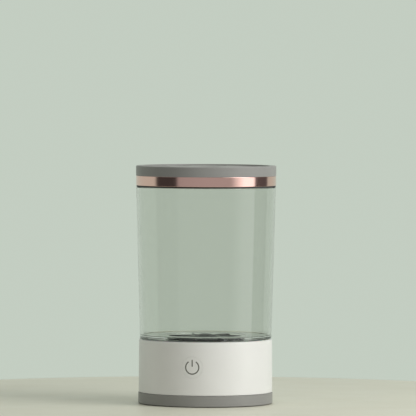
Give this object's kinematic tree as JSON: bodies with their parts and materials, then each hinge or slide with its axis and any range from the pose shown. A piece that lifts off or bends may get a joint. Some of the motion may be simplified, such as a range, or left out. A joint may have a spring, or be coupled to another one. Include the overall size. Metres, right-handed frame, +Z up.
{
  "type": "brush cleaner",
  "caption": "Round electric brush cleaner: battery base with power button, lift-off clear cup with a magnet-driven impeller, and a lid with petal openings that hold brushes upright.",
  "frame": {"origin": "centre of the footprint, on the surface that the feet stand on", "axes": "+Z up along the cup's axis, -Y towards the power button, +Y towards the charging port"},
  "size_m": [0.1, 0.1, 0.1697],
  "materials": {
    "grey_plastic": "soft-touch moulded grey, fine texture",
    "white_plastic": "satin white moulding",
    "deck_plastic": "plain white moulding",
    "black_plastic": "black moulding",
    "impeller_plastic": "black moulding, satin when wet",
    "clear_plastic": "clear, polished",
    "rose_metal": "anodised rose gold, satin",
    "rubber": "matt",
    "petal_silicone": "matt grey silicone",
    "pale_silicone": "matt, pale and slightly see-through",
    "symbol_grey": "grey inlay",
    "screw_steel": "plain steel",
    "plated_steel": "zinc plated",
    "brass": "plain brass",
    "copper": "enamelled copper",
    "magnet": "nickel plated",
    "ferrite": "dark ferrite",
    "battery_wrap": "shrink sleeve",
    "wire": "wire insulation",
    "circuit_board": "solder mask"
  },
  "bodies": {
    "base": {"rubber_foot_1": "rubber", "rubber_foot_2": "rubber", "rubber_foot_3": "rubber", "rubber_foot_4": "rubber", "bottom_cover": "grey_plastic", "housing_screws": "screw_steel", "housing": "white_plastic", "deck": "deck_plastic", "seat_gasket": "pale_silicone", "motor_can": "plated_steel", "motor_end_cap": "black_plastic", "motor_terminals": "brass", "stator_magnet_1": "ferrite", "stator_magnet_2": "ferrite", "front_bearing": "brass", "rear_bearing": "brass", "motor_bracket": "plated_steel", "motor_screws": "screw_steel", "bracket_screws": "screw_steel", "battery_cell": "battery_wrap", "battery_tray": "black_plastic", "battery_leads": "wire", "motor_leads": "wire", "switch_leads": "wire", "main_board": "circuit_board", "board_components": "black_plastic", "board_screws": "screw_steel", "usb_port": "plated_steel", "usb_tongue": "black_plastic", "switch_board": "circuit_board", "tact_switch": "black_plastic"},
    "drive": {"motor_shaft": "screw_steel", "armature": "plated_steel", "armature_windings": "copper", "commutator": "copper", "magnet_carrier": "black_plastic", "drive_magnet_1": "magnet", "drive_magnet_2": "magnet", "drive_magnet_3": "magnet", "drive_magnet_4": "magnet"},
    "button": {"power_button": "white_plastic", "power_symbol": "symbol_grey", "switch_plunger": "deck_plastic"},
    "cup": {"cup": "clear_plastic", "cup_spindle": "screw_steel"},
    "impeller": {"impeller_rotor": "impeller_plastic", "impeller_bushing": "deck_plastic", "impeller_base_plate": "impeller_plastic", "impeller_cap": "impeller_plastic", "impeller_magnet_1": "magnet", "impeller_magnet_2": "magnet", "impeller_magnet_3": "magnet", "impeller_magnet_4": "magnet"},
    "lid": {"lid_cover": "grey_plastic", "petal_sheet": "petal_silicone", "lid_carrier": "grey_plastic", "lid_ring": "rose_metal", "lid_seal": "rubber", "rim_gasket": "rubber", "lid_screws": "screw_steel"}
  },
  "joints": [
    {"name": "drive_spin", "type": "hinge", "parent": "base", "child": "drive", "pos_m": [0, 0, 0.02], "axis": [0, 0, 1], "continuous": true},
    {"name": "cup_lift", "type": "slide", "parent": "base", "child": "cup", "axis": [0, 0, 1], "range_m": [0, 0.03]},
    {"name": "impeller_spin", "type": "hinge", "parent": "cup", "child": "impeller", "pos_m": [0, 0, 0.0468], "axis": [0, 0, 1], "continuous": true},
    {"name": "lid_lift", "type": "slide", "parent": "cup", "child": "lid", "axis": [0, 0, 1], "range_m": [0, 0.04]},
    {"name": "button_press", "type": "slide", "parent": "base", "child": "button", "axis": [0, 1, 0], "range_m": [0, 0.0006], "stiffness_N_per_m": 400}
  ],
  "couplings": [
    {"joint": "impeller_spin", "follows": "drive_spin", "ratio": 1}
  ]
}
